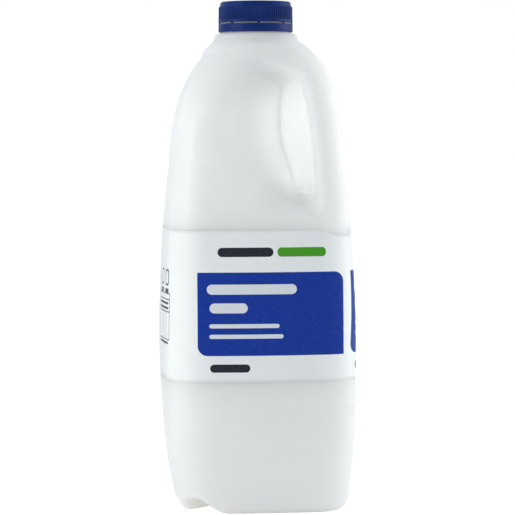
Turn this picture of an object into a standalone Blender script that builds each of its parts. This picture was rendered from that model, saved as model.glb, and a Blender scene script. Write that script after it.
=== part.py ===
"""A two-litre plastic milk jug: square body, corner handle, screw cap and film label.

Metres, +Z up, the jug's axis on Z and the floor at Z = 0. The handle points to +X,
and the mould's parting plane is Y = 0.
"""
import math

import bmesh
import bpy
from mathutils import Vector

MM = 0.001

# Body: height, distance of the faces, corner radius, radius of the faces' bulge (mm)
BODY_TABLE = (
    (0.0, 46.6, 17.2, 420.0),
    (8.0, 47.6, 17.4, 400.0),
    (15.0, 48.8, 17.6, 390.0),
    (22.0, 49.9, 17.8, 375.0),
    (30.0, 50.8, 18.0, 355.0),
    (43.0, 52.0, 18.0, 322.0),
    (56.0, 52.6, 18.0, 293.0),
    (72.0, 53.4, 18.0, 268.0),
    (90.0, 53.75, 18.0, 252.0),
    (104.0, 53.65, 18.0, 253.0),
    (120.0, 53.15, 18.0, 258.0),
    (137.0, 52.2, 18.0, 275.0),
    (153.5, 51.1, 18.0, 305.0),
    (164.0, 49.95, 18.0, 330.0),
    (175.0, 48.8, 18.0, 355.0),
    (186.0, 47.65, 18.0, 385.0),
    (196.0, 46.6, 18.0, 410.0),
    (205.0, 45.5, 18.0, 450.0),
    (212.0, 44.5, 18.2, 505.0),
    (219.0, 43.1, 18.8, 550.0),
    (223.5, 41.9, 19.5, 590.0),
    (228.0, 40.3, 20.5, 640.0),
    (232.0, 38.4, 21.8, 720.0),
    (236.0, 36.5, 23.2, 800.0),
    (240.0, 34.5, 24.7, 900.0),
    (243.0, 32.7, 26.0, 980.0),
    (246.0, 30.5, 27.4, 1050.0),
    (248.1, 28.9, 28.4, 1100.0),
)
# How far the body's middle stands behind the axis (mm)
BODY_SHIFT = ((0.0, 1.7), (8.0, 1.5), (22.0, 0.5), (56.0, 0.0), (76.0, -0.5), (112.0, -0.5),
              (150.0, -0.9), (170.0, -1.1), (212.0, -0.9), (245.0, 0.0), (300.0, 0.0))

HEEL_RADIUS = 8.0
GROOVE_RADIUS = 9.6
GROOVE_HEIGHT = 3.0

# Neck above the body: height and radius (mm)
NECK_TABLE = (
    (248.4, 29.1),
    (249.9, 29.1),
    (251.3, 27.9),
    (254.6, 24.5),
    (256.1, 23.0),
    (257.6, 22.8),
    (258.9, 22.2),
    (259.7, 21.4),
    (260.0, 20.0),
    (260.1, 18.5),
    (275.1, 18.5),
    (275.6, 18.0),
)

# The hollow round the handle: height and distance of its wall from the axis (mm)
WALL_TABLE = (
    (154.6, 72.0),
    (159.4, 58.4),
    (162.2, 52.2),
    (164.5, 46.0),
    (167.8, 38.9),
    (174.0, 32.3),
    (181.3, 26.7),
    (189.3, 22.3),
    (199.1, 18.3),
    (208.1, 16.3),
    (216.1, 16.4),
    (226.1, 17.6),
)
HOLLOW_CEILING = 234.6
CEILING_RADIUS = 8.0
CEILING_SLOPE = 0.5
# Towards the hollow's floor, between these heights, the draft fades out, and the wall
# stands back next to the parting plane (mm)
DRAFT_FOOT = 170.0
DRAFT_FULL = 187.0
UNDERCUT = 2.6
UNDERCUT_HALF = 10.0
# The web that closes the narrow foot of the gap under the handle (mm)
WEB_TOP = 171.8
WEB_HALF = 2.6
WEB_START = 28.0
WEB_END = 53.0
WEB_DEPTH = 12.0
# Distance from the parting plane and how far the wall there stands forward (mm)
WALL_DRAFT = ((0.0, 3.4), (2.2, 3.4), (2.9, 2.0), (15.0, 1.4), (32.0, 0.6), (44.0, 0.0),
              (48.0, -1.5), (52.0, -5.0), (56.0, -11.0), (80.0, -11.0))

# Middle line of the handle in the parting plane (mm)
HANDLE_LINE = (
    (12.0, 251.6),
    (18.0, 250.3),
    (25.2, 247.9),
    (31.9, 244.2),
    (37.7, 239.3),
    (42.3, 232.9),
    (45.2, 225.1),
    (47.7, 214.6),
    (49.8, 202.1),
    (51.3, 189.1),
    (52.6, 176.1),
    (53.4, 164.1),
    (53.7, 157.1),
)
HANDLE_THICK = 7.7
HANDLE_WIDE = 9.7

# Film label
LABEL_FOOT = 72.6
LABEL_TOP = 153.5
LABEL_THICK = 0.5
GAP = 0.3
LABEL_ROUNDER = 2.0

# Cap
CAP_TOP = 277.5
CAP_TOP_RADIUS = 20.3
CAP_FOOT_RADIUS = 20.55
CAP_WALL = 1.5
CAP_LID = 1.6
BAND_FOOT = 260.7
BAND_TOP = 265.2
SKIRT_FOOT = 266.3
RIB_COUNT = 90
RIB_DEPTH = 0.35
RIB_TOP = 274.3
BRIDGE_COUNT = 8
BRIDGE_WIDE = 2.0

CORNER_STEPS = 9
FACE_STEPS = 8


def clear_scene():
    for item in list(bpy.data.objects):
        bpy.data.objects.remove(item)
    for group in list(bpy.data.collections):
        bpy.data.collections.remove(group)


def read_table(table, where, column=1):
    """The value of a table's column at a place between its rows."""
    if where <= table[0][0]:
        return table[0][column]
    for low, high in zip(table, table[1:]):
        if where <= high[0]:
            share = (where - low[0]) / (high[0] - low[0])
            return low[column] + share * (high[column] - low[column])
    return table[-1][column]


def body_ring(height, inset=0.0, rounder=0.0):
    """One level of the body: four shallow arcs and four corner arcs, tangent to each other.

    The corners lie on the X and Y axes.
    """
    swell = read_table(BODY_TABLE, height, 3) - inset
    radius = read_table(BODY_TABLE, height, 2) + rounder - inset
    back = read_table(BODY_TABLE, height, 1) - inset - swell
    shift = read_table(BODY_SHIFT, height)
    root = math.sqrt(0.5)
    corner = back * root + math.sqrt((swell - radius) ** 2 - back * back / 2)
    meet = math.atan2(corner * root, corner * root - back)
    ring = []
    for quarter in range(4):
        turn = quarter * math.pi / 2
        reach = math.pi / 4 - meet
        for step in range(CORNER_STEPS + 1):
            angle = reach * (2 * step / CORNER_STEPS - 1)
            ring.append((turn, corner + radius * math.cos(angle), radius * math.sin(angle)))
        for step in range(1, FACE_STEPS):
            angle = math.pi / 4 - meet * (1 - 2 * step / FACE_STEPS)
            ring.append((turn, swell * math.cos(angle) + back * root,
                         swell * math.sin(angle) + back * root))
    return [Vector((x * math.cos(t) - y * math.sin(t) + shift,
                    x * math.sin(t) + y * math.cos(t), height)) * MM for t, x, y in ring]


def round_ring(height, radius):
    """A circle with the same points as a level of the body."""
    ring = []
    for point in body_ring(BODY_TABLE[-1][0]):
        direction = Vector((point.x, point.y, 0)).normalized()
        ring.append(direction * radius * MM + Vector((0, 0, height * MM)))
    return ring


def loft(name, rings, ends=True):
    """A skin through rings with equal point counts."""
    count = len(rings[0])
    points = [point for ring in rings for point in ring]
    faces = []
    if ends:
        faces = [list(range(count))[::-1], [len(points) - count + i for i in range(count)]]
    for low, high in zip(range(len(rings)), range(1, len(rings))):
        for here in range(count):
            there = (here + 1) % count
            faces.append([low * count + here, low * count + there,
                          high * count + there, high * count + here])
    mesh = bpy.data.meshes.new(name)
    mesh.from_pydata(points, [], faces)
    mesh.validate()
    return bpy.data.objects.new(name, mesh)


def material(name, colour, roughness):
    made = bpy.data.materials.new(name)
    made.use_nodes = True
    shader = made.node_tree.nodes["Principled BSDF"]
    shader.inputs["Base Color"].default_value = (*colour, 1)
    shader.inputs["Roughness"].default_value = roughness
    made.diffuse_color = (*colour, 1)
    return made


def place(item, group):
    """Puts an object in one collection only."""
    for old in list(item.users_collection):
        old.objects.unlink(item)
    group.objects.link(item)
    return item


def hide_cutter(item, group):
    place(item, group)
    item.hide_render = True
    item.display_type = "WIRE"
    return item


def join_shape(item, other, operation):
    """Applies one exact Boolean."""
    step = item.modifiers.new(other.name, "BOOLEAN")
    step.object = other
    step.operation = operation
    step.solver = "EXACT"


def bake(item):
    """Turns an object's modifiers into mesh."""
    graph = bpy.context.evaluated_depsgraph_get()
    mesh = bpy.data.meshes.new_from_object(item.evaluated_get(graph))
    item.modifiers.clear()
    item.data = mesh


def shade(item, angle=40.0):
    for face in item.data.polygons:
        face.use_smooth = True
    item.data.set_sharp_from_angle(angle=math.radians(angle))


def body_levels():
    """Heights and insets of the body's levels, heel first."""
    levels = []
    for step in range(6):
        turn = math.radians(90 - step * 18)
        levels.append((HEEL_RADIUS * (1 - math.sin(turn)), HEEL_RADIUS * (1 - math.cos(turn))))
    levels += [(z, 0.0) for z in (15.0, 22.0, 30.0, 43.0, 56.0)]
    seat = LABEL_THICK + GAP
    levels += [(LABEL_FOOT - GAP, 0.0), (LABEL_FOOT - GAP, seat)]
    levels += [(z, seat) for z in (90.0, 104.0, 120.0, 137.0)]
    levels += [(LABEL_TOP + GAP, seat), (LABEL_TOP + GAP, 0.0)]
    levels += [(row[0], 0.0) for row in BODY_TABLE if row[0] > 156]
    return levels


def heel_ring(height, inset):
    """A level of the body; the label's seat has rounder corners."""
    return body_ring(height, inset, LABEL_ROUNDER if seat_level(height, inset) else 0.0)


def seat_level(height, inset):
    return inset > 0 and LABEL_FOOT - 1 < height < LABEL_TOP + 1


def make_body():
    rings = [heel_ring(*level) for level in body_levels()]
    rings += [round_ring(*level) for level in NECK_TABLE]
    return loft("jug", rings)


def hollow_outline(away):
    """The hollow's outline in a plane at a distance from the parting plane."""
    forward = read_table(WALL_DRAFT, abs(away))
    loss = max(forward, 0.0) + (UNDERCUT if abs(away) < UNDERCUT_HALF else 0.0)
    top = HOLLOW_CEILING + CEILING_SLOPE * max(abs(away) - 2.5, 0.0)
    low = WALL_TABLE[0][0]
    high = top - CEILING_RADIUS
    outline = []
    for step in range(19):
        z = low + (high - low) * step / 18
        fade = min(max((DRAFT_FULL - z) / (DRAFT_FULL - DRAFT_FOOT), 0.0), 1.0)
        outline.append((read_table(WALL_TABLE, z) + forward - fade * loss, z))
    side = outline[-1][0]
    for step in range(1, 5):
        angle = math.radians(180 - step * 22.5)
        outline.append((side + CEILING_RADIUS * (1 + math.cos(angle)),
                        high + CEILING_RADIUS * math.sin(angle)))
    outline += [(95.0, top), (95.0, low)]
    return [Vector((x, away, z)) * MM for x, z in outline]


def make_hollow():
    """The space round the handle, open to both sides."""
    stations = [row[0] for row in WALL_DRAFT[1:]]
    stations = [-value for value in reversed(stations)] + stations
    return loft("handle_hollow", [hollow_outline(away) for away in reversed(stations)])


def make_web():
    bpy.ops.mesh.primitive_cube_add(size=1, location=(
        (WEB_START + WEB_END) / 2 * MM, 0, (WEB_TOP - WEB_DEPTH / 2) * MM))
    item = bpy.context.active_object
    item.name = "handle_web"
    item.scale = ((WEB_END - WEB_START) * MM, 2 * WEB_HALF * MM, WEB_DEPTH * MM)
    return item


def make_handle():
    """The handle: an oval swept along its line."""
    bpy.ops.curve.primitive_bezier_circle_add(radius=1.0)
    oval = bpy.context.active_object
    oval.name = "handle_oval"
    oval.scale = (HANDLE_WIDE * MM, HANDLE_THICK * MM, 1)
    oval.data.resolution_u = 6
    curve = bpy.data.curves.new("handle_bar", "CURVE")
    curve.dimensions = "3D"
    curve.twist_mode = "Z_UP"
    curve.bevel_mode = "OBJECT"
    curve.bevel_object = oval
    curve.use_fill_caps = True
    spline = curve.splines.new("POLY")
    spline.points.add(len(HANDLE_LINE) - 1)
    for point, (x, z) in zip(spline.points, HANDLE_LINE):
        point.co = (x * MM, 0, z * MM, 1)
    swept = bpy.data.objects.new("handle_curve", curve)
    bpy.context.scene.collection.objects.link(swept)
    bpy.context.view_layer.update()
    graph = bpy.context.evaluated_depsgraph_get()
    mesh = bpy.data.meshes.new_from_object(swept.evaluated_get(graph))
    bar = bpy.data.objects.new("handle_bar", mesh)
    bpy.data.objects.remove(swept)
    bpy.data.objects.remove(oval)
    return bar


def weld(item):
    """Joins points that lie together."""
    work = bmesh.new()
    work.from_mesh(item.data)
    bmesh.ops.remove_doubles(work, verts=work.verts, dist=0.00002)
    bmesh.ops.recalc_face_normals(work, faces=work.faces)
    work.to_mesh(item.data)
    work.free()


def make_groove():
    """The groove across the base, along Y."""
    bpy.ops.mesh.primitive_cylinder_add(
        vertices=32, radius=GROOVE_RADIUS * MM, depth=0.16,
        location=(0, 0, GROOVE_HEIGHT * MM), rotation=(math.pi / 2, 0, 0))
    item = bpy.context.active_object
    item.name = "base_groove"
    return item


def make_label():
    """A thin film once round the body."""
    heights = [LABEL_FOOT, 90.0, 104.0, 120.0, 137.0, LABEL_TOP]
    item = loft("label", [body_ring(z, 0.0, LABEL_ROUNDER) for z in heights], ends=False)
    weld(item)
    film = item.modifiers.new("film", "SOLIDIFY")
    film.thickness = LABEL_THICK * MM
    film.offset = -1
    film.use_even_offset = True
    return item


def cap_radius(height):
    share = (height - BAND_FOOT) / (CAP_TOP - BAND_FOOT)
    return CAP_FOOT_RADIUS + share * (CAP_TOP_RADIUS - CAP_FOOT_RADIUS)


def cap_ring(height, radius, ribbed=False):
    """A circle whose every second pair of points may stand back between ribs."""
    ring = []
    for step in range(RIB_COUNT * 2):
        angle = 2 * math.pi * step / (RIB_COUNT * 2)
        reach = radius - (RIB_DEPTH if ribbed and step % 2 else 0.0)
        ring.append(Vector((reach * math.cos(angle), reach * math.sin(angle), height)) * MM)
    return ring


def make_cap():
    """Lid and ribbed skirt, open below."""
    inner = CAP_TOP_RADIUS - CAP_WALL
    return loft("cap", [
        cap_ring(CAP_TOP - CAP_LID, inner),
        cap_ring(SKIRT_FOOT, inner),
        cap_ring(SKIRT_FOOT, cap_radius(SKIRT_FOOT), True),
        cap_ring(RIB_TOP, cap_radius(RIB_TOP), True),
        cap_ring(RIB_TOP + 0.65, CAP_TOP_RADIUS - 0.6),
        cap_ring(CAP_TOP - 0.85, CAP_TOP_RADIUS - 1.0),
        cap_ring(CAP_TOP - 0.3, CAP_TOP_RADIUS - 1.4),
        cap_ring(CAP_TOP, CAP_TOP_RADIUS - 2.4),
    ])


def make_band():
    """The tamper band, turned from its profile."""
    inner = CAP_TOP_RADIUS - CAP_WALL
    low, high = cap_radius(BAND_FOOT), cap_radius(BAND_TOP)
    profile = [(inner, BAND_TOP), (high - 0.3, BAND_TOP), (high, BAND_TOP - 0.3),
               (low, BAND_FOOT + 0.5), (low - 0.3, BAND_FOOT), (inner, BAND_FOOT)]
    mesh = bpy.data.meshes.new("tamper_band")
    edges = [(here, (here + 1) % len(profile)) for here in range(len(profile))]
    mesh.from_pydata([(x * MM, 0, z * MM) for x, z in profile], edges, [])
    item = bpy.data.objects.new("tamper_band", mesh)
    turn = item.modifiers.new("turn", "SCREW")
    turn.steps = turn.render_steps = RIB_COUNT * 2
    turn.use_merge_vertices = True
    turn.merge_threshold = 0.00001
    return item


def make_bridge(number):
    """One small tie between skirt and band."""
    angle = 2 * math.pi * number / BRIDGE_COUNT
    reach = CAP_TOP_RADIUS - CAP_WALL / 2
    bpy.ops.mesh.primitive_cube_add(size=1, location=(
        reach * math.cos(angle) * MM, reach * math.sin(angle) * MM,
        (BAND_TOP + SKIRT_FOOT) / 2 * MM), rotation=(0, 0, angle))
    item = bpy.context.active_object
    item.name = f"bridge_{number}"
    item.scale = ((CAP_WALL - 0.7) * MM, BRIDGE_WIDE * MM, (SKIRT_FOOT - BAND_TOP + 1.0) * MM)
    return item


def main():
    clear_scene()
    shown = bpy.data.collections.new("milk_jug")
    cutters = bpy.data.collections.new("cutters")
    for group in (shown, cutters):
        bpy.context.scene.collection.children.link(group)

    jug = place(make_body(), shown)
    for cutter, operation in ((make_hollow(), "DIFFERENCE"), (make_web(), "UNION"),
                              (make_handle(), "UNION"), (make_groove(), "DIFFERENCE")):
        hide_cutter(cutter, cutters)
        weld(cutter)
        join_shape(jug, cutter, operation)
    weld(jug)
    bpy.context.view_layer.update()
    bake(jug)

    label = place(make_label(), shown)

    cap = place(make_cap(), shown)
    weld(cap)
    for piece in [make_band()] + [make_bridge(number) for number in range(BRIDGE_COUNT)]:
        hide_cutter(piece, cutters)
        join_shape(cap, piece, "UNION")
    bpy.context.view_layer.update()
    bake(cap)

    looks = ((jug, "white_plastic", (0.80, 0.82, 0.82), 0.4),
             (label, "label_film", (0.78, 0.80, 0.82), 0.35),
             (cap, "navy_plastic", (0.01, 0.02, 0.09), 0.35))
    for item, name, colour, roughness in looks:
        item.data.materials.clear()
        item.data.materials.append(material(name, colour, roughness))
        shade(item)


main()
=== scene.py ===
"""Looks of the plastic milk jug: moulded body, printed film label and ribbed cap.

Sizes are millimetres in the frame of the CAD: the neck on Z, the handle towards +X,
the base on Z = 0. Each mesh is scaled to metres as it is made.
"""
import math

import bpy
import numpy as np
from mathutils import Matrix, Vector


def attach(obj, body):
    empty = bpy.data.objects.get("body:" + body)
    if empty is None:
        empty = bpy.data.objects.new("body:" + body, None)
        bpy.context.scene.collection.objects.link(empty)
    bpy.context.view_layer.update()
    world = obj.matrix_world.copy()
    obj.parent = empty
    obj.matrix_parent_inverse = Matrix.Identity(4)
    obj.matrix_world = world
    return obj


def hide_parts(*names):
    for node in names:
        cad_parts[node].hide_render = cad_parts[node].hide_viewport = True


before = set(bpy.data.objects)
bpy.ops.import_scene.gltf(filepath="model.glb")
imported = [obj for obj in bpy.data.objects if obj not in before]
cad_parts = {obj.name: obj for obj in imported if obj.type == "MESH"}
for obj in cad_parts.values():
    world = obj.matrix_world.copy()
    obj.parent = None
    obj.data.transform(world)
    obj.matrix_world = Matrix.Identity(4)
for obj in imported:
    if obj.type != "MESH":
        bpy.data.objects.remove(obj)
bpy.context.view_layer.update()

MM = 0.001
ROOT = math.sqrt(0.5)

# Body: height, distance of the faces, corner radius, radius of the faces' bulge
BODY_TABLE = (
    (0.0, 46.6, 17.2, 420.0),
    (8.0, 47.6, 17.4, 400.0),
    (15.0, 48.8, 17.6, 390.0),
    (22.0, 49.9, 17.8, 375.0),
    (30.0, 50.8, 18.0, 355.0),
    (43.0, 52.0, 18.0, 322.0),
    (56.0, 52.6, 18.0, 293.0),
    (72.0, 53.4, 18.0, 268.0),
    (90.0, 53.75, 18.0, 252.0),
    (104.0, 53.65, 18.0, 253.0),
    (120.0, 53.15, 18.0, 258.0),
    (137.0, 52.2, 18.0, 275.0),
    (153.5, 51.1, 18.0, 305.0),
    (164.0, 49.95, 18.0, 330.0),
    (175.0, 48.8, 18.0, 355.0),
    (186.0, 47.65, 18.0, 385.0),
    (196.0, 46.6, 18.0, 410.0),
    (205.0, 45.5, 18.0, 450.0),
    (212.0, 44.5, 18.2, 505.0),
    (219.0, 43.1, 18.8, 550.0),
    (223.5, 41.9, 19.5, 590.0),
    (228.0, 40.3, 20.5, 640.0),
    (232.0, 38.4, 21.8, 720.0),
    (236.0, 36.5, 23.2, 800.0),
    (240.0, 34.5, 24.7, 900.0),
    (243.0, 32.7, 26.0, 980.0),
    (246.0, 30.5, 27.4, 1050.0),
    (249.0, 28.3, 28.2, 1100.0),
    (255.0, 23.8, 23.8, 1100.0),
)
# How far the body's middle stands behind the neck's axis
BODY_SHIFT = ((0.0, 1.7), (8.0, 1.5), (22.0, 0.5), (56.0, 0.0), (76.0, -0.5), (112.0, -0.5),
              (150.0, -0.9), (170.0, -1.1), (212.0, -0.9), (245.0, 0.0), (300.0, 0.0))
SHIFT_BLUR = 6.0
BODY_TOP = 252.0
BODY_TOP_LIP = 0.8
HEEL_RADIUS = 7.0
# Groove under the base, along Y: radius, place of its axis and the rounding of its edges
GROOVE_RADIUS = 10.0
GROOVE_SIDE = 2.5
GROOVE_HEIGHT = -1.2
GROOVE_LIP = 3.5
# Faint ridge round the body under the label
RIDGE_HEIGHT = 59.0
RIDGE_SIZE = 0.4
RIDGE_HALF = 0.9

# Neck above the body: radius and height
NECK_OUTLINE = ((0.0, 243.0), (28.4, 243.0), (29.2, 247.6), (29.3, 250.0), (27.8, 251.5),
                (24.6, 254.6), (22.9, 256.1), (22.9, 257.6), (22.4, 258.9), (21.5, 259.7),
                (20.0, 260.1), (18.5, 260.3), (18.5, 265.2), (20.1, 265.4), (20.1, 266.1),
                (18.5, 266.3), (18.5, 275.0), (0.0, 275.3))
# Fillet between neck and body, the larger one towards the handle, and the cosines of the
# directions between which it grows
NECK_FILLET = 0.5
NECK_HANDLE_FILLET = 6.0
NECK_HANDLE_SIDE = (0.15, 0.65)
# Where neck and body can meet: lowest level and reach from the axis
NECK_ZONE = (238.0, 38.0)

# The hollow round the handle: height and distance of its wall from the axis
WALL_TABLE = (
    (154.6, 72.0),
    (159.4, 58.4),
    (162.2, 52.2),
    (164.5, 46.0),
    (167.8, 38.9),
    (174.0, 32.3),
    (181.3, 26.7),
    (189.3, 22.3),
    (199.1, 18.3),
    (208.1, 16.3),
    (216.1, 16.4),
    (226.1, 17.6),
)
HOLLOW_CEILING = 234.6
CEILING_RADIUS = 8.0
# Rise of the ceiling with the distance from the parting plane past its flat middle, and the
# levels between which it sets in
CEILING_SLOPE = 0.5
CEILING_FLAT = 2.5
CEILING_LEVELS = (210.0, 234.0)
HOLLOW_LIP = 5.0
HOLLOW_REACH = 95.0
# Levels of the part of the jug that the hollow and the handle change
HANDLE_LEVELS = (140.0, 262.0)
# Distance from the parting plane and how far the wall there stands forward
WALL_DRAFT = ((0.0, 3.4), (2.2, 3.4), (2.9, 2.0), (15.0, 1.4), (32.0, 0.6), (44.0, 0.0),
              (48.0, -1.5), (52.0, -5.0), (56.0, -11.0), (80.0, -11.0))
# Towards the hollow's floor, between these heights, the draft fades out, and the wall
# stands back next to the parting plane
DRAFT_FOOT = 170.0
DRAFT_FULL = 187.0
UNDERCUT = 2.6
UNDERCUT_FOOT = (166.0, 173.0)
UNDERCUT_EDGE = (5.0, 15.0)
# The web that closes the narrow foot of the gap under the handle, wider towards its foot
WEB_TOP = 172.6
WEB_HALF = 2.6
WEB_FLARE = 0.8
WEB_DEPTH = 8.0
WEB_END = 53.0
WEB_FILLET = 4.5

# Middle line of the handle in the parting plane: distance from the axis and height
HANDLE_LINE = (
    (12.0, 251.6),
    (18.0, 250.3),
    (25.2, 247.9),
    (31.9, 244.2),
    (37.7, 239.3),
    (42.3, 232.9),
    (45.2, 225.1),
    (47.7, 214.6),
    (49.8, 202.1),
    (51.3, 189.1),
    (52.6, 176.1),
    (53.4, 164.1),
    (53.7, 157.1),
)
HANDLE_THICK = 7.7
HANDLE_WIDE = 9.7
# Fillet between handle and body, larger at the handle's foot: it grows over the first pair of
# levels and shrinks again over the second
HANDLE_ROOT = 4.0
HANDLE_FOOT_ROOT = 7.0
ROOT_GROWS = (157.5, 166.0)
ROOT_SHRINKS = (168.0, 186.0)

# Cell of the grid that the jug's skin is found on
GRID = 1.0

# Film label
LABEL_FOOT = 72.6
LABEL_TOP = 153.5
LABEL_THICK = 0.25
LABEL_PROUD = 0.05
LABEL_SEAT = 0.15
LABEL_SEAT_EDGE = 0.5
LABEL_ROUNDER = 2.0
LABEL_LEVELS = 36

# Cap
CAP_TOP = 277.5
CAP_RADIUS = 20.35
CAP_INNER = 18.8
BAND_FOOT = 260.7
BAND_TOP = 265.2
BAND_RADIUS = 20.5
SKIRT_FOOT = 266.0
RIB_COUNT = 100
RIB_STEPS = 8
RIB_DEPTH = 0.38
RIB_FOOT = 267.7
RIB_TOP = 274.3
BAND_STEPS = 192
SHARP_EDGE = math.radians(50)
TIE_COUNT = 8
TIE_WIDE = 1.9
TIE_DEEP = 0.9
TIE_STEPS = 12

# Print on the label, along each face from its middle and up from the floor
INK_EDGE = 0.15
PANEL_LEFT = -36.1
PANEL_LEFT_RIGHT = -40.6
PANEL_WIDE = 78.7
PANEL_FOOT = 86.8
PANEL_TOP = 131.2
# How much the second panel's edges lean towards the first, for each millimetre down
PANEL_LEAN = 0.08
PANEL_ROUND = 5.2
# A panel's square corners lie this far outside the rounded ones
PANEL_SQUARE = 30.0
# Bars: start and end along the panel, foot and top above the floor
WHITE_BARS = ((5.0, 53.0, 119.6, 124.8), (6.4, 26.6, 109.6, 114.8), (6.2, 43.6, 101.6, 103.7),
              (6.2, 45.7, 96.0, 98.1))
DARK_BARS = ((10.9, 40.6, 139.6, 144.4), (6.5, 27.8, 77.9, 82.1))
GREEN_BAR = (43.0, 69.0, 139.6, 144.4)
GREEN_BAR_ROUND = 2.0
# Marks over the table: half width, foot, top and rounding of the outside and the inside
MARK_PLACES = (17.0, 31.5)
MARK_OUTSIDE = (4.2, 123.6, 132.2, 2.0)
MARK_INSIDE = (3.1, 124.6, 131.2, 1.2)
MARK_LINE = (119.6, 121.8)
TABLE_LEFT = 8.0
TABLE_RIGHT = 38.0
TABLE_FOOT = 94.2
TABLE_TOP = 119.4
TABLE_EDGE = 0.5
TABLE_RULES = (109.4, 116.0)
TABLE_COLUMNS = (22.0, 30.5)
RULE_HALF = 0.2
# Plain lines in place of the table's words: their feet, height and how far they stay inside
TABLE_LINES = (113.4, 110.8, 92.0)
LINE_HIGH = 1.1
LINE_INSIDE = 2.0

# Inks, and the two ends of each uneven ground colour
BLUE_INK = (0.002, 0.038, 0.35)
WHITE_INK = (0.80, 0.84, 0.87)
DARK_INK = (0.018, 0.022, 0.035)
GREEN_INK = (0.07, 0.36, 0.015)
MILKY_WHITE = ((0.785, 0.797, 0.797), (0.815, 0.827, 0.827))
HANDLE_WHITE = (0.75, 0.765, 0.77)
SEAM_GREY = (0.55, 0.56, 0.56)
FILM_WHITE = ((0.89, 0.91, 0.91), (0.91, 0.93, 0.93))
CAP_NAVY = ((0.003, 0.021, 0.14), (0.004, 0.029, 0.185))
FLOOR_WHITE = ((0.79, 0.79, 0.79), (0.81, 0.81, 0.81))
SOFT_LIGHT = 1.0
SOFT_REACH = (0.027, 0.025, 0.023)
LOW_SPECULAR = 0.15
# Colour and strength of the painted glow: emission that lifts the plastic's shade in place of the
# light that the milk sends back through the plastic
GLOW = (1.0, 0.97, 0.90)
GLOW_STRENGTH = 0.13
# Above the milk the shoulder gets less painted glow: heights where that starts and ends, and glow
# there
SHOULDER_GLOW = (215.0, 243.0, 0.05)
# The handle's zone fades in over these distances from the axis and levels, and its painted glow grows
# from one flank to the other, painted light that makes one side of the handle brighter
HANDLE_SIDE = (30.0, 42.0)
HANDLE_FOOT = (158.0, 176.0)
HANDLE_FLANKS = (-9.5, -5.0)
HANDLE_GLOW = (0.035, 0.115)
# Added painted glow under the rounded heel and in the groove, lifting the shade there, which fades
# out over these distances
HEEL_LEVEL = 7.0
FOOT_GLOW = 0.07
GROOVE_GLOW = 0.05
GROOVE_SIDES = (15.0, 9.0)
GROOVE_LEVELS = (14.0, 9.0)
# Painted glow of the film, brighter towards the body's corners: distances from the axis of a face's
# middle and a corner, and strengths there
CORNER_GLOW = (58.0, 65.0, 0.035, 0.13)
SEAM_HALF = 0.35
SEAM_HIGH = 2.0
SEAM_SHADE = 0.25

# Camera and light
CAMERA_TURN = 40.0
CAMERA_AWAY = 1350.0
CAMERA_HEIGHT = 212.1
CAMERA_LENS = 170.4
CAMERA_DROP = 3.213
CAMERA_ROLL = -0.24
AIM_RIGHT = 0.53
# Soft boxes: turn from the camera's side, distance (m), width and height (m), power (W)
SOFT_BOXES = (("box_left", -62, 1.0, (0.6, 1.3), 6.0), ("box_right", 100, 1.0, (0.6, 1.3), 6.3),
              ("box_front", 44, 1.0, (0.5, 1.2), 0.8))
# Soft box overhead: height and place behind the jug (m), size (m), power (W)
TOP_BOX = (1.5, 0.4, (1.2, 1.2), 1.4)
LIGHT_AIM = 0.13
BOX_COLOUR = (1.0, 0.98, 0.965)
LIGHT_COLOUR = (0.89, 0.955, 1.0)
LIGHT_BEHIND = 0.75
LIGHT_IN_FRONT = 0.47
# Cosines of the directions, from behind to in front, between which the light fades
LIGHT_FADE = (-0.3, 0.95)
FLOOR_GLOW = 0.7
FLOOR_HALF = 9000.0


def ramp(value, start, end):
    """0 before start, 1 after end, smooth between."""
    share = np.clip((value - start) / (end - start), 0.0, 1.0)
    return share * share * (3 - 2 * share)


HEIGHT_STEP = 0.25
HEIGHTS = np.arange(-20.0, 300.0, HEIGHT_STEP)


def smooth_curve(rows, column=1, blur=2.5):
    """A table's column against height, softened, at each of HEIGHTS."""
    heights = [row[0] for row in rows]
    values = [row[column] for row in rows]
    reach = np.arange(-4 * blur, 4 * blur + 0.1, HEIGHT_STEP)
    weight = np.exp(-0.5 * (reach / blur) ** 2)
    curve = np.interp(HEIGHTS, heights, values)
    edge = len(reach) // 2
    padded = np.pad(curve, edge, mode="edge")
    return np.convolve(padded, weight / weight.sum(), mode="valid")[:len(HEIGHTS)]


FACE, CORNER, SWELL = (smooth_curve(BODY_TABLE, column) for column in (1, 2, 3))
SHIFT = smooth_curve(BODY_SHIFT, blur=SHIFT_BLUR)


def soften(points, rounds=2, closed=False):
    """Cuts the corners of a line of points, over and over."""
    points = np.array(points, float)
    for _ in range(rounds):
        ahead = np.roll(points, -1, axis=0)
        near = 0.75 * points + 0.25 * ahead
        far = 0.25 * points + 0.75 * ahead
        cut = np.stack([near, far], 1).reshape(-1, 2)
        points = cut if closed else np.vstack([points[:1], cut[:-2], points[-1:]])
    return points


def line_distance(u, v, line):
    """Distance from each place to a line of points."""
    near = np.full(u.shape, np.inf)
    for (start_u, start_v), (end_u, end_v) in zip(line[:-1], line[1:]):
        along_u, along_v = end_u - start_u, end_v - start_v
        length = along_u ** 2 + along_v ** 2
        share = np.clip(((u - start_u) * along_u + (v - start_v) * along_v) / length, 0, 1)
        near = np.minimum(near, np.hypot(u - start_u - share * along_u,
                                         v - start_v - share * along_v))
    return near


def outline_distance(u, v, outline):
    """Distance from each place to a closed outline, negative inside it."""
    loop = np.vstack([outline, outline[:1]])
    inside = np.zeros(u.shape, bool)
    for (start_u, start_v), (end_u, end_v) in zip(loop[:-1], loop[1:]):
        if start_v == end_v:
            continue
        across = start_u + (v - start_v) * (end_u - start_u) / (end_v - start_v)
        inside ^= ((start_v > v) != (end_v > v)) & (u < across)
    near = line_distance(u, v, loop)
    return np.where(inside, -near, near)


def meet(first, second, lip):
    """What two solids share, its edge rounded by lip."""
    over = np.hypot(np.maximum(first + lip, 0), np.maximum(second + lip, 0))
    return np.minimum(np.maximum(first, second), -lip) + over


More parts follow.
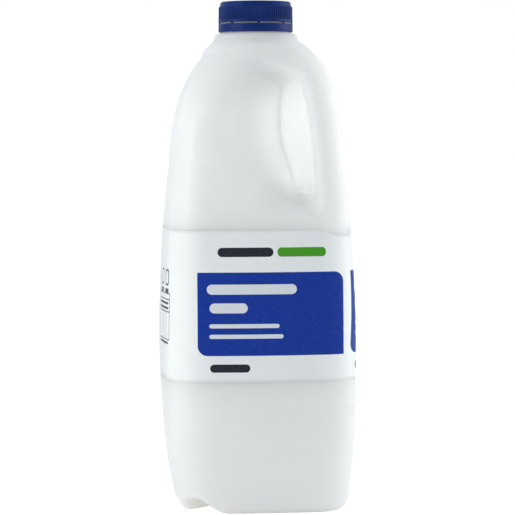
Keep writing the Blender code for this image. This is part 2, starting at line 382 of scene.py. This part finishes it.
def join(first, second, fillet):
    """Two solids together, the corner between them filled by fillet."""
    return -meet(-first, -second, fillet)


def body_distance(x, y, z, inset, rounder):
    """Distance to the body's side: at each level four shallow arcs and four corner arcs."""
    swell = np.interp(z, HEIGHTS, SWELL) - inset
    radius = np.interp(z, HEIGHTS, CORNER) + rounder - inset
    back = np.interp(z, HEIGHTS, FACE) - inset - swell
    along_x = x - np.interp(z, HEIGHTS, SHIFT)
    first, second = np.abs(along_x - y) * ROOT, np.abs(along_x + y) * ROOT
    out, side = np.maximum(first, second), np.minimum(first, second)
    corner = back / 2 + ROOT * np.sqrt((swell - radius) ** 2 - back ** 2 / 2)
    turn = np.arctan2(corner, corner - back)
    on_face = np.arctan2(side, out - back) <= turn
    return np.where(on_face, np.hypot(out - back, side) - swell,
                    np.hypot(out - corner, side - corner) - radius)


def neck_distance(x, y, z):
    return outline_distance(np.hypot(x, y), z, NECK)


def hollow_outline():
    """The hollow in the plane y = 0, before the draft."""
    high = HOLLOW_CEILING - CEILING_RADIUS
    wall = [(x, z) for z, x in WALL_TABLE]
    side = wall[-1][0]
    arch = [(side + CEILING_RADIUS * (1 - math.cos(turn)), high + CEILING_RADIUS * math.sin(turn))
            for turn in (0.5, 0.9, 1.25, math.pi / 2)]
    curve = soften(wall + arch, 3)
    return np.vstack([curve, [(HOLLOW_REACH, HOLLOW_CEILING), (HOLLOW_REACH, WALL_TABLE[0][0])]])


def hollow_distance(x, y, z):
    """The hollow with its draft on both sides of the parting plane."""
    away = np.abs(y)
    forward = np.interp(away, *zip(*WALL_DRAFT))
    undercut = UNDERCUT * ramp(z, *UNDERCUT_FOOT) * (1 - ramp(away, *UNDERCUT_EDGE))
    loss = np.maximum(forward, 0) + undercut
    forward = forward - loss * (1 - ramp(z, DRAFT_FOOT, DRAFT_FULL))
    rise = CEILING_SLOPE * np.maximum(away - CEILING_FLAT, 0) * ramp(z, *CEILING_LEVELS)
    return outline_distance(x - forward, z - rise, HOLLOW)


def web_distance(x, y, z):
    half = WEB_HALF + WEB_FLARE * np.clip(WEB_TOP - z, 0, WEB_DEPTH)
    side = (np.abs(y) - half) / math.hypot(1.0, WEB_FLARE)
    return np.maximum(np.maximum(side, z - WEB_TOP), x - WEB_END)


def handle_distance(x, y, z):
    away = line_distance(x, z, HANDLE)
    return (np.hypot(away / HANDLE_THICK, y / HANDLE_WIDE) - 1) * HANDLE_THICK


NECK = soften(NECK_OUTLINE, 2, closed=True)
HOLLOW = hollow_outline()
HANDLE = soften(HANDLE_LINE, 2)


def jug_field(x, y, z):
    """Below zero inside the jug; near its surface, about the distance to it."""
    seat = ramp(z, LABEL_FOOT - LABEL_SEAT_EDGE, LABEL_FOOT)
    seat *= 1 - ramp(z, LABEL_TOP, LABEL_TOP + LABEL_SEAT_EDGE)
    field = body_distance(x, y, z, LABEL_SEAT * seat, LABEL_ROUNDER * seat)
    field -= RIDGE_SIZE * np.exp(-((z - RIDGE_HEIGHT) / RIDGE_HALF) ** 2)
    field = meet(field, z - BODY_TOP, BODY_TOP_LIP)

    lowest, reach = NECK_ZONE
    top = (z > lowest) & (np.hypot(x, y) < reach)
    tx, ty, tz = x[top], y[top], z[top]
    share = ramp(tx / np.maximum(np.hypot(tx, ty), 1.0), *NECK_HANDLE_SIDE)
    fillet = NECK_FILLET + (NECK_HANDLE_FILLET - NECK_FILLET) * share
    field[top] = join(field[top], neck_distance(tx, ty, tz), fillet)
    near = (x > 0) & (z > HANDLE_LEVELS[0]) & (z < HANDLE_LEVELS[1])
    px, py, pz = x[near], y[near], z[near]
    part = meet(field[near], -hollow_distance(px, py, pz), HOLLOW_LIP)
    part = join(part, web_distance(px, py, pz), WEB_FILLET)
    low = ramp(pz, *ROOT_GROWS) * (1 - ramp(pz, *ROOT_SHRINKS))
    root = HANDLE_ROOT + (HANDLE_FOOT_ROOT - HANDLE_ROOT) * low
    field[near] = join(part, handle_distance(px, py, pz), root)

    field = meet(field, -z, HEEL_RADIUS)
    groove = GROOVE_RADIUS - np.hypot(x - GROOVE_SIDE, z - GROOVE_HEIGHT)
    return meet(field, groove, GROOVE_LIP)


def cross_points(values, axis):
    """Where the field crosses zero between neighbours along one axis."""
    low = [slice(None)] * 3
    high = [slice(None)] * 3
    low[axis], high[axis] = slice(None, -1), slice(1, None)
    first, second = values[tuple(low)], values[tuple(high)]
    crosses = (first < 0) != (second < 0)
    share = np.where(crosses, first / np.where(crosses, first - second, 1.0), 0.0)
    return crosses, share, first < 0


def shift_sum(values, axis):
    """Adds the four edges of one direction that border each cell."""
    others = [other for other in range(3) if other != axis]
    for other in others:
        low = [slice(None)] * 3
        high = [slice(None)] * 3
        low[other], high[other] = slice(None, -1), slice(1, None)
        values = values[tuple(low)] + values[tuple(high)]
    return values


def skin(field, low, high, cell):
    """Points and quads of the surface where the field is zero, one point in each crossed cell.

    A cell's point is the mean of the crossings on its edges, and each crossed edge gives one
    quad through the four cells that share it.
    """
    axes = [np.arange(start, end + cell, cell) for start, end in zip(low, high)]
    places = np.meshgrid(*axes, indexing="ij")
    values = field(*places)
    cells = [count - 1 for count in values.shape]
    total = np.zeros(cells)
    sums = [np.zeros(cells) for _ in range(3)]
    crossed = []
    for axis in range(3):
        crosses, share, starts_inside = cross_points(values, axis)
        crossed.append((crosses, starts_inside))
        total += shift_sum(crosses.astype(float), axis)
        for side in range(3):
            index = np.arange(values.shape[side], dtype=float)
            shape = [1, 1, 1]
            shape[side] = -1
            grid = np.broadcast_to(index.reshape(shape), values.shape)
            cut = [slice(None)] * 3
            cut[axis] = slice(None, -1)
            place = grid[tuple(cut)] + (share if side == axis else 0.0)
            sums[side] += shift_sum(np.where(crosses, place, 0.0), axis)
    used = total > 0
    number = np.full(cells, -1)
    number[used] = np.arange(used.sum())
    points = np.stack([start[0] + cell * one[used] / total[used]
                       for start, one in zip(axes, sums)], 1)
    quads = []
    for axis in range(3):
        crosses, starts_inside = crossed[axis]
        where = np.argwhere(crosses)
        second, third = (axis + 1) % 3, (axis + 2) % 3
        ring = []
        for step_second, step_third in ((-1, -1), (0, -1), (0, 0), (-1, 0)):
            corner = where.copy()
            corner[:, second] += step_second
            corner[:, third] += step_third
            ring.append(number[tuple(corner.T)])
        ring = np.stack(ring, 1)
        outward = starts_inside[crosses]
        ring[~outward] = ring[~outward][:, ::-1]
        quads.append(ring)
    return points, np.vstack(quads)


def slope(field, points, step=0.08):
    """The field's gradient at each point."""
    sides = []
    for axis in range(3):
        ahead, behind = points.copy(), points.copy()
        ahead[:, axis] += step
        behind[:, axis] -= step
        sides.append((field(*ahead.T) - field(*behind.T)) / (2 * step))
    return np.stack(sides, 1)


def even_out(points, quads):
    """Each point's step towards the middle of its neighbours."""
    total = np.zeros_like(points)
    count = np.zeros(len(points))
    for here in range(4):
        start, end = quads[:, here], quads[:, (here + 1) % 4]
        for first, second in ((start, end), (end, start)):
            for side in range(3):
                total[:, side] += np.bincount(first, points[second, side], len(points))
            count += np.bincount(first, minlength=len(points))
    return total / count[:, None] - points


def settle(field, points, quads, rounds=4):
    """Draws the points on to the surface, spread evenly over it."""
    for turn in range(rounds):
        gradient = slope(field, points)
        size = np.maximum((gradient ** 2).sum(1)[:, None], 0.01)
        if turn < rounds - 1:
            drift = even_out(points, quads)
            drift -= gradient * (drift * gradient).sum(1)[:, None] / size
            points = points + 0.6 * drift
        step = gradient * (field(*points.T)[:, None] / size)
        length = np.sqrt((step ** 2).sum(1))[:, None]
        points = points - step * np.minimum(1, 0.5 * GRID / np.maximum(length, 1e-9))
    return points


def make_object(name, points, faces, smooth=True):
    mesh = bpy.data.meshes.new(name)
    mesh.from_pydata((np.asarray(points) * MM).tolist(), [], np.asarray(faces).tolist())
    mesh.validate()
    mesh.polygons.foreach_set("use_smooth", [smooth] * len(mesh.polygons))
    item = bpy.data.objects.new(name, mesh)
    bpy.context.scene.collection.objects.link(item)
    return item


def make_jug():
    """The blown jug: body, shoulder, handle, neck and base in one skin."""
    points, quads = skin(jug_field, (-70, -70, -3 * GRID / 2), (70, 70, 278), GRID)
    points = settle(jug_field, points, quads)
    points[:, 2] = np.maximum(points[:, 2], 0.0)
    return make_object("jug_shell", points, quads)


def body_ring(height, inset=0.0, rounder=0.0, corner_steps=24, face_steps=36):
    """One level of the body as a ring of points."""
    swell = np.interp(height, HEIGHTS, SWELL) - inset
    radius = np.interp(height, HEIGHTS, CORNER) + rounder - inset
    back = np.interp(height, HEIGHTS, FACE) - inset - swell
    corner = back / 2 + ROOT * math.sqrt((swell - radius) ** 2 - back ** 2 / 2)
    turn = math.atan2(corner, corner - back)
    reach = math.pi / 4 - turn
    ring = []
    for quarter in range(4):
        for step in range(corner_steps):
            angle = reach * (2 * step / corner_steps - 1)
            ring.append((quarter, corner / ROOT + radius * math.cos(angle), radius * math.sin(angle)))
        for step in range(face_steps):
            angle = math.pi / 4 - turn * (1 - 2 * step / face_steps)
            ring.append((quarter, swell * math.cos(angle) + back * ROOT,
                         swell * math.sin(angle) + back * ROOT))
    shift = np.interp(height, HEIGHTS, SHIFT)
    return [(x * math.cos(q * math.pi / 2) - y * math.sin(q * math.pi / 2) + shift,
             x * math.sin(q * math.pi / 2) + y * math.cos(q * math.pi / 2), height)
            for q, x, y in ring]


def loft(name, rings, closed=False, smooth=True):
    """A skin through rings with equal point counts; closed joins the last ring to the first."""
    count = len(rings[0])
    here = np.arange(count)
    there = np.roll(here, -1)
    faces = []
    for level in range(len(rings) if closed else len(rings) - 1):
        low = level * count
        high = (level + 1) % len(rings) * count
        faces.append(np.stack([low + here, low + there, high + there, high + here], 1))
    points = [point for ring in rings for point in ring]
    return make_object(name, points, np.vstack(faces), smooth)


def make_label():
    """The film, once round the body: up its outside and down its inside."""
    levels = np.linspace(LABEL_FOOT, LABEL_TOP, LABEL_LEVELS)
    outside = [body_ring(z, -LABEL_PROUD, LABEL_ROUNDER) for z in levels]
    inside = [body_ring(z, LABEL_THICK - LABEL_PROUD, LABEL_ROUNDER) for z in reversed(levels)]
    return loft("label_film", outside + inside, closed=True)


def ring(radius, height, count, depth=0.0):
    """A level of the cap; depth cuts narrow flutes between its ribs."""
    turn = np.arange(count) * 2 * math.pi / count
    flute = (0.5 - 0.5 * np.cos(RIB_COUNT * turn)) ** 1.5
    reach = radius - depth * flute
    return np.stack([reach * np.cos(turn), reach * np.sin(turn), np.full(count, height)], 1)


def fill_ends(item, count, levels):
    """Closes the first and last ring of a loft."""
    first = list(range(count))[::-1]
    last = [(levels - 1) * count + step for step in range(count)]
    mesh = item.data
    points = [vertex.co[:] for vertex in mesh.vertices]
    faces = [tuple(face.vertices) for face in mesh.polygons] + [first, last]
    mesh.clear_geometry()
    mesh.from_pydata(points, [], faces)
    mesh.polygons.foreach_set("use_smooth", [True] * len(mesh.polygons))
    return item


def make_skirt():
    """Lid and skirt: a plain foot, fine upright ribs, a step in and a rounded rim."""
    count = RIB_COUNT * RIB_STEPS
    profile = [
        (CAP_INNER, CAP_TOP - 1.6, 0),
        (CAP_INNER, SKIRT_FOOT, 0),
        (CAP_RADIUS - 0.1, SKIRT_FOOT, 0),
        (CAP_RADIUS + 0.1, SKIRT_FOOT + 0.12, 0),
        (CAP_RADIUS + 0.2, SKIRT_FOOT + 0.4, 0),
        (CAP_RADIUS + 0.2, RIB_FOOT - 0.5, 0),
        (CAP_RADIUS + 0.12, RIB_FOOT - 0.2, 0.2),
        (CAP_RADIUS + 0.05, RIB_FOOT, 1),
        (CAP_RADIUS + 0.02, 0.5 * (RIB_FOOT + RIB_TOP), 1),
        (CAP_RADIUS, RIB_TOP - 0.3, 1),
        (CAP_RADIUS - 0.08, RIB_TOP, 0.8),
        (CAP_RADIUS - 0.3, RIB_TOP + 0.35, 0.3),
        (CAP_RADIUS - 0.62, RIB_TOP + 0.65, 0),
        (CAP_RADIUS - 0.78, RIB_TOP + 1.0, 0),
        (CAP_RADIUS - 0.88, RIB_TOP + 1.8, 0),
        (CAP_RADIUS - 1.02, CAP_TOP - 0.85, 0),
        (CAP_RADIUS - 1.35, CAP_TOP - 0.35, 0),
        (CAP_RADIUS - 1.8, CAP_TOP - 0.08, 0),
        (CAP_RADIUS - 2.4, CAP_TOP, 0),
        (CAP_RADIUS - 5.0, CAP_TOP, 0),
    ]
    rings = [ring(radius, height, count, RIB_DEPTH * depth) for radius, height, depth in profile]
    item = fill_ends(loft("cap_skirt", rings), count, len(rings))
    item.data.set_sharp_from_angle(angle=SHARP_EDGE)
    return item


def make_band():
    """The tamper band under the skirt."""
    profile = [
        (CAP_INNER, BAND_TOP),
        (CAP_INNER, BAND_FOOT),
        (BAND_RADIUS - 0.5, BAND_FOOT),
        (BAND_RADIUS - 0.15, BAND_FOOT + 0.1),
        (BAND_RADIUS, BAND_FOOT + 0.4),
        (BAND_RADIUS, BAND_TOP - 0.35),
        (BAND_RADIUS - 0.1, BAND_TOP - 0.1),
        (BAND_RADIUS - 0.35, BAND_TOP),
    ]
    rings = [ring(radius, height, BAND_STEPS) for radius, height in profile]
    item = loft("tamper_band", rings, closed=True)
    item.data.set_sharp_from_angle(angle=SHARP_EDGE)
    return item


def make_tie(number):
    """One small tie between band and skirt, waisted in its middle."""
    turn = number * 2 * math.pi / TIE_COUNT
    out = Vector((math.cos(turn), math.sin(turn), 0))
    side = Vector((-math.sin(turn), math.cos(turn), 0))
    rings = []
    for height, wide in ((BAND_TOP - 0.3, 1.0), (BAND_TOP + 0.1, 0.9), (BAND_TOP + 0.55, 0.72),
                         (SKIRT_FOOT - 0.1, 0.9), (SKIRT_FOOT + 0.3, 1.0)):
        middle = out * (BAND_RADIUS - 0.55) + Vector((0, 0, height))
        corners = []
        for step in range(TIE_STEPS):
            angle = step * 2 * math.pi / TIE_STEPS
            corners.append(middle + out * 0.5 * TIE_DEEP * math.cos(angle)
                           + side * 0.5 * TIE_WIDE * wide * math.sin(angle))
        rings.append(corners)
    return fill_ends(loft(f"tie_{number}", rings), TIE_STEPS, len(rings))


class Recipe:
    """Short calls for a material's nodes."""

    def __init__(self, name):
        self.material = bpy.data.materials.new(name)
        self.material.use_nodes = True
        self.nodes = self.material.node_tree.nodes
        self.links = self.material.node_tree.links
        self.shader = self.nodes["Principled BSDF"]

    def set(self, node, **values):
        """Sets or links a node's inputs by name."""
        for key, value in values.items():
            socket = node.inputs[key.replace("_", " ")]
            if isinstance(value, bpy.types.NodeSocket):
                self.links.new(value, socket)
            else:
                socket.default_value = value
        return node

    def math(self, operation, *values):
        node = self.nodes.new("ShaderNodeMath")
        node.operation = operation
        for socket, value in zip(node.inputs, values):
            if isinstance(value, bpy.types.NodeSocket):
                self.links.new(value, socket)
            else:
                socket.default_value = value
        return node.outputs[0]

    def place(self):
        """Object coordinates in millimetres: the vector and its three parts."""
        source = self.nodes.new("ShaderNodeTexCoord").outputs["Object"]
        scaled = self.nodes.new("ShaderNodeVectorMath")
        scaled.operation = "SCALE"
        scaled.inputs["Scale"].default_value = 1 / MM
        self.links.new(source, scaled.inputs[0])
        parts = self.nodes.new("ShaderNodeSeparateXYZ")
        self.links.new(scaled.outputs[0], parts.inputs[0])
        return scaled.outputs[0], parts.outputs

    def noise(self, vector, size, detail=2.0):
        """Noise whose lumps are about size millimetres across."""
        node = self.nodes.new("ShaderNodeTexNoise")
        self.set(node, Vector=vector, Scale=1 / size, Detail=detail)
        return node.outputs["Fac"]

    def spread(self, value, low, high, to_low=0.0, to_high=1.0):
        node = self.nodes.new("ShaderNodeMapRange")
        self.set(node, Value=value, From_Min=low, From_Max=high, To_Min=to_low, To_Max=to_high)
        return node.outputs[0]

    def mix(self, share, first, second):
        """The second colour over the first, by share."""
        node = self.nodes.new("ShaderNodeMix")
        node.data_type = "RGBA"
        sockets = (node.inputs[0], node.inputs[6], node.inputs[7])
        for socket, value in zip(sockets, (share, first, second)):
            if isinstance(value, bpy.types.NodeSocket):
                self.links.new(value, socket)
            elif isinstance(value, float):
                socket.default_value = value
            else:
                socket.default_value = (*value, 1)
        return node.outputs[2]

    def box(self, across, up, left, right, foot, top, radius=0.0):
        """1 inside a rectangle with rounded corners, 0 outside it."""
        reaches = []
        for place, low, high in ((across, left, right), (up, foot, top)):
            away = self.math("ABSOLUTE", self.math("SUBTRACT", place, (low + high) / 2))
            past = self.math("SUBTRACT", away, (high - low) / 2 - radius)
            reaches.append(self.math("MAXIMUM", past, 0.0))
        squares = [self.math("MULTIPLY", reach, reach) for reach in reaches]
        away = self.math("SQRT", self.math("ADD", *squares))
        return self.spread(away, radius + INK_EDGE, radius)

    def join(self, shapes):
        """1 inside any of the shapes."""
        whole = shapes[0]
        for shape in shapes[1:]:
            whole = self.math("MAXIMUM", whole, shape)
        return whole

    def bump(self, height, strength, distance):
        node = self.nodes.new("ShaderNodeBump")
        self.set(node, Height=height, Strength=strength, Distance=distance * MM)
        return node.outputs[0]


def milky_colour(r, spot, first, second):
    """Uneven white of plastic with milk behind it."""
    cloud = r.noise(spot, 38.0, 3.0)
    return r.mix(r.spread(cloud, 0.3, 0.7), first, second)


def plastic_material():
    """Milky blown plastic: light goes in and comes out softly, with a fine orange peel.

    The mould's parting plane leaves a thin raised line. A painted glow (emission) lifts the plastic's
    shade in place of light scattered by the milk; handle and shoulder, with no milk in them, glow
    less than the body, the handle's painted light grows from one flank to the other, and painted
    light lifts the shade under the heel and in the groove.
    """
    r = Recipe("white_plastic")
    spot, (x, y, z) = r.place()
    speck = r.noise(spot, 2.2, 2.0)
    rough = r.spread(speck, 0.3, 0.7, 0.36, 0.46)
    peel = r.math("ADD", r.math("MULTIPLY", speck, 0.4), r.noise(spot, 7.0, 2.0))
    seam = r.spread(r.math("ABSOLUTE", y), SEAM_HALF, 0.0)
    height = r.math("ADD", peel, r.math("MULTIPLY", seam, SEAM_HIGH))
    handle = r.math("MULTIPLY", r.spread(x, *HANDLE_SIDE), r.spread(z, *HANDLE_FOOT))
    colour = r.mix(handle, milky_colour(r, spot, *MILKY_WHITE), HANDLE_WHITE)
    colour = r.mix(r.math("MULTIPLY", seam, SEAM_SHADE), colour, SEAM_GREY)
    r.set(r.shader, Base_Color=colour, Roughness=rough, Normal=r.bump(height, 0.25, 0.12))
    r.shader.inputs["Subsurface Weight"].default_value = SOFT_LIGHT
    r.shader.inputs["Subsurface Radius"].default_value = SOFT_REACH
    r.shader.inputs["Subsurface Scale"].default_value = 1.0
    r.shader.inputs["IOR"].default_value = 1.5
    # Painted light: the emission lifts the plastic's shade, less on the shoulder above the milk
    start, end, least = SHOULDER_GLOW
    body_glow = r.spread(z, start, end, GLOW_STRENGTH, least)
    # Painted light on the handle, stronger on one flank than the other
    handle_glow = r.spread(y, *HANDLE_FLANKS, *HANDLE_GLOW)
    # Painted light that lifts the shade under the heel and in the groove
    groove = r.math("MULTIPLY", r.spread(r.math("ABSOLUTE", x), *GROOVE_SIDES),
                    r.spread(z, *GROOVE_LEVELS))
    foot_glow = r.math("ADD", r.spread(z, HEEL_LEVEL, 0.0, 0.0, FOOT_GLOW),
                       r.math("MULTIPLY", groove, GROOVE_GLOW))
    glow = r.math("ADD", r.spread(handle, 0.0, 1.0, body_glow, handle_glow), foot_glow)
    r.set(r.shader, Emission_Color=(*GLOW, 1), Emission_Strength=glow)
    return r.material


def print_faces(r, x, y):
    """For the front, right and left faces: how far along it a place is, and 1 on its side."""
    first = r.math("MULTIPLY", r.math("SUBTRACT", x, y), ROOT)
    second = r.math("MULTIPLY", r.math("ADD", x, y), ROOT)
    front = (second, r.math("GREATER_THAN", first, 0.0))
    right = (r.math("MULTIPLY", first, -1.0), r.math("GREATER_THAN", second, 0.0))
    left = (first, r.math("LESS_THAN", second, 0.0))
    return front, right, left


def panel_shapes(r, along, up, left):
    """A blue panel and the plain bars on it and round it, from the panel's left edge."""
    right = left + PANEL_WIDE
    blue = r.math("MULTIPLY",
                  r.box(along, up, left - PANEL_SQUARE, right, PANEL_FOOT - PANEL_SQUARE,
                        PANEL_TOP, PANEL_ROUND),
                  r.box(along, up, left, right + PANEL_SQUARE, PANEL_FOOT,
                        PANEL_TOP + PANEL_SQUARE, PANEL_ROUND))
    white = r.join([r.box(along, up, left + start, left + end, foot, top, (top - foot) / 2)
                    for start, end, foot, top in WHITE_BARS])
    dark = [r.box(along, up, left + start, left + end, foot, top, (top - foot) / 2)
            for start, end, foot, top in DARK_BARS]
    start, end, foot, top = GREEN_BAR
    green = r.box(along, up, left + start, left + end, foot, top, GREEN_BAR_ROUND)
    return blue, white, r.join(dark), green


def table_shapes(r, along, up):
    """Two marks over a ruled table, as thin dark lines."""
    shapes = []
    for middle in MARK_PLACES:
        outer, inner = (r.box(along, up, middle - half, middle + half, foot, top, radius)
                        for half, foot, top, radius in (MARK_OUTSIDE, MARK_INSIDE))
        shapes.append(r.math("SUBTRACT", outer, inner))
        half = MARK_OUTSIDE[0]
        shapes.append(r.box(along, up, middle - half, middle + half, *MARK_LINE))
    outer = r.box(along, up, TABLE_LEFT, TABLE_RIGHT, TABLE_FOOT, TABLE_TOP)
    inner = r.box(along, up, TABLE_LEFT + TABLE_EDGE, TABLE_RIGHT - TABLE_EDGE,
                  TABLE_FOOT + TABLE_EDGE, TABLE_TOP - TABLE_EDGE)
    shapes.append(r.math("SUBTRACT", outer, inner))
    for rule in TABLE_RULES:
        shapes.append(r.box(along, up, TABLE_LEFT, TABLE_RIGHT, rule - RULE_HALF, rule + RULE_HALF))
    for middle in TABLE_COLUMNS:
        shapes.append(r.box(along, up, middle - RULE_HALF, middle + RULE_HALF,
                            TABLE_FOOT, TABLE_RULES[0]))
    for foot in TABLE_LINES:
        shapes.append(r.box(along, up, TABLE_LEFT + LINE_INSIDE, TABLE_RIGHT - LINE_INSIDE,
                            foot, foot + LINE_HIGH))
    return r.join(shapes)


def film_material():
    """Printed film: a clear ground with blue panels, plain bars and thin rules, and painted light on
    the unprinted ground towards the body's corners.
    """
    r = Recipe("label_film")
    spot, (x, y, z) = r.place()
    front, right, left = print_faces(r, x, y)
    ink = {"blue": [], "white": [], "dark": [], "green": []}
    lean = r.math("MULTIPLY", r.math("SUBTRACT", PANEL_TOP, z), PANEL_LEAN)
    leaning = (r.math("ADD", right[0], lean), right[1])
    for (along, on_face), start in ((front, PANEL_LEFT), (leaning, PANEL_LEFT_RIGHT)):
        for name, shape in zip(ink, panel_shapes(r, along, z, start)):
            ink[name].append(r.math("MULTIPLY", shape, on_face))
    ink["dark"].append(r.math("MULTIPLY", table_shapes(r, left[0], z), left[1]))
    colours = {"blue": BLUE_INK, "white": WHITE_INK, "dark": DARK_INK, "green": GREEN_INK}
    speckle = r.noise(spot, 0.35, 1.0)
    colour = milky_colour(r, spot, *FILM_WHITE)
    for name, shapes in ink.items():
        cover = r.math("MULTIPLY", r.join(shapes), r.spread(speckle, 0.2, 0.5, 0.94, 1.0))
        colour = r.mix(cover, colour, colours[name])
    rough = r.spread(r.noise(spot, 3.0), 0.3, 0.7, 0.30, 0.38)
    wave = r.noise(spot, 9.0, 2.0)
    r.set(r.shader, Base_Color=colour, Roughness=rough, Normal=r.bump(wave, 0.2, 0.12))
    r.shader.inputs["Specular IOR Level"].default_value = LOW_SPECULAR
    # Painted light: emission on the unprinted film, stronger towards the body's corners
    away = r.math("SQRT", r.math("ADD", r.math("MULTIPLY", x, x), r.math("MULTIPLY", y, y)))
    inked = r.join([shape for shapes in ink.values() for shape in shapes])
    shine = r.math("MULTIPLY", r.spread(away, *CORNER_GLOW), r.math("SUBTRACT", 1.0, inked))
    r.set(r.shader, Emission_Color=(*GLOW, 1), Emission_Strength=shine)
    return r.material


def cap_material():
    """Satin moulded plastic in navy."""
    r = Recipe("navy_plastic")
    spot, _ = r.place()
    cloud = r.noise(spot, 9.0, 3.0)
    grain = r.noise(spot, 0.5, 2.0)
    colour = r.mix(r.spread(cloud, 0.3, 0.7), *CAP_NAVY)
    rough = r.spread(grain, 0.3, 0.7, 0.32, 0.44)
    r.set(r.shader, Base_Color=colour, Roughness=rough, Normal=r.bump(grain, 0.15, 0.05))
    r.shader.inputs["Specular IOR Level"].default_value = LOW_SPECULAR
    return r.material


def floor_material():
    """A pale floor that looks white without lighting the jug from below."""
    r = Recipe("pale_floor")
    spot, _ = r.place()
    colour = r.mix(r.noise(spot, 160.0), *FLOOR_WHITE)
    seen = r.nodes.new("ShaderNodeLightPath").outputs["Is Camera Ray"]
    r.set(r.shader, Base_Color=colour, Roughness=0.7, Emission_Color=(1, 1, 1, 1),
          Emission_Strength=r.math("MULTIPLY", seen, FLOOR_GLOW))
    return r.material


def dress(item, material):
    item.data.materials.clear()
    item.data.materials.append(material)
    return item


def camera_axes():
    """Level directions to the camera's right and towards the camera."""
    turn = math.radians(CAMERA_TURN)
    right = Vector((math.cos(turn), math.sin(turn), 0))
    back = Vector((math.sin(turn), -math.cos(turn), 0))
    return right, back


def make_camera():
    right, back = camera_axes()
    data = bpy.data.cameras.new("camera")
    data.lens = CAMERA_LENS
    data.sensor_width = 36
    data.clip_start = 0.05
    data.clip_end = 50
    item = bpy.data.objects.new("camera", data)
    bpy.context.scene.collection.objects.link(item)
    place = back * CAMERA_AWAY + Vector((0, 0, CAMERA_HEIGHT))
    drop = CAMERA_AWAY * math.tan(math.radians(CAMERA_DROP))
    aim = Vector((0, 0, CAMERA_HEIGHT - drop)) + right * AIM_RIGHT
    forward = (aim - place).normalized()
    side = forward.cross(Vector((0, 0, 1))).normalized()
    up = side.cross(forward)
    level = Matrix((side, up, -forward)).transposed()
    rolled = level @ Matrix.Rotation(math.radians(CAMERA_ROLL), 3, "Z")
    item.matrix_world = Matrix.Translation(place * MM) @ rolled.to_4x4()
    bpy.context.scene.camera = item


def make_light(name, place, aim, size, power):
    data = bpy.data.lights.new(name, "AREA")
    data.shape = "RECTANGLE"
    data.size, data.size_y = size
    data.energy = power
    data.color = BOX_COLOUR
    item = bpy.data.objects.new(name, data)
    bpy.context.scene.collection.objects.link(item)
    item.location = place
    item.rotation_euler = (aim - place).to_track_quat("-Z", "Y").to_euler()


def make_studio():
    """A pale floor, soft boxes at both sides and a bright surround."""
    corners = [(along * FLOOR_HALF, across * FLOOR_HALF, 0)
               for along, across in ((-1, -1), (1, -1), (1, 1), (-1, 1))]
    floor = make_object("floor", corners, [(0, 1, 2, 3)], smooth=False)
    dress(floor, floor_material())
    right, back = camera_axes()
    up = Vector((0, 0, 1))
    middle = up * LIGHT_AIM
    for name, turn, away, size, power in SOFT_BOXES:
        angle = math.radians(turn)
        place = middle + (right * math.sin(angle) + back * math.cos(angle)) * away
        make_light(name, place, middle, size, power)
    height, behind, size, power = TOP_BOX
    make_light("box_top", up * height - back * behind, middle, size, power)
    make_surround(back)
    bpy.context.scene.view_settings.view_transform = "Standard"


def make_surround(back):
    """A surround that is white to look at and darker towards the front as a light."""
    world = bpy.data.worlds.new("surround")
    bpy.context.scene.world = world
    world.use_nodes = True
    nodes, links = world.node_tree.nodes, world.node_tree.links
    shine = nodes["Background"]
    shine.inputs["Color"].default_value = (*LIGHT_COLOUR, 1)
    direction = nodes.new("ShaderNodeTexCoord").outputs["Generated"]
    facing = nodes.new("ShaderNodeVectorMath")
    facing.operation = "DOT_PRODUCT"
    facing.inputs[1].default_value = back
    links.new(direction, facing.inputs[0])
    fade = nodes.new("ShaderNodeMapRange")
    fade.interpolation_type = "SMOOTHSTEP"
    names = ("From Min", "From Max", "To Min", "To Max")
    for name, value in zip(names, (*LIGHT_FADE, LIGHT_BEHIND, LIGHT_IN_FRONT)):
        fade.inputs[name].default_value = value
    links.new(facing.outputs["Value"], fade.inputs["Value"])
    plain = nodes.new("ShaderNodeBackground")
    plain.inputs["Color"].default_value = (1, 1, 1, 1)
    plain.inputs["Strength"].default_value = 1.0
    links.new(fade.outputs[0], shine.inputs["Strength"])
    choose = nodes.new("ShaderNodeMixShader")
    links.new(nodes.new("ShaderNodeLightPath").outputs["Is Camera Ray"], choose.inputs[0])
    links.new(shine.outputs[0], choose.inputs[1])
    links.new(plain.outputs[0], choose.inputs[2])
    links.new(choose.outputs[0], nodes["World Output"].inputs["Surface"])


def main():
    jug = dress(make_jug(), plastic_material())
    label = dress(make_label(), film_material())
    navy = cap_material()
    cap = [dress(item, navy) for item in
           [make_skirt(), make_band()] + [make_tie(number) for number in range(TIE_COUNT)]]
    pieces = [(jug, "jug", "white_plastic"), (label, "label", "label_film")]
    pieces += [(item, "cap", "navy_plastic") for item in cap]
    for piece, node, slot in pieces:
        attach(piece, "root")
        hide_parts(node)
    make_camera()
    make_studio()


main()
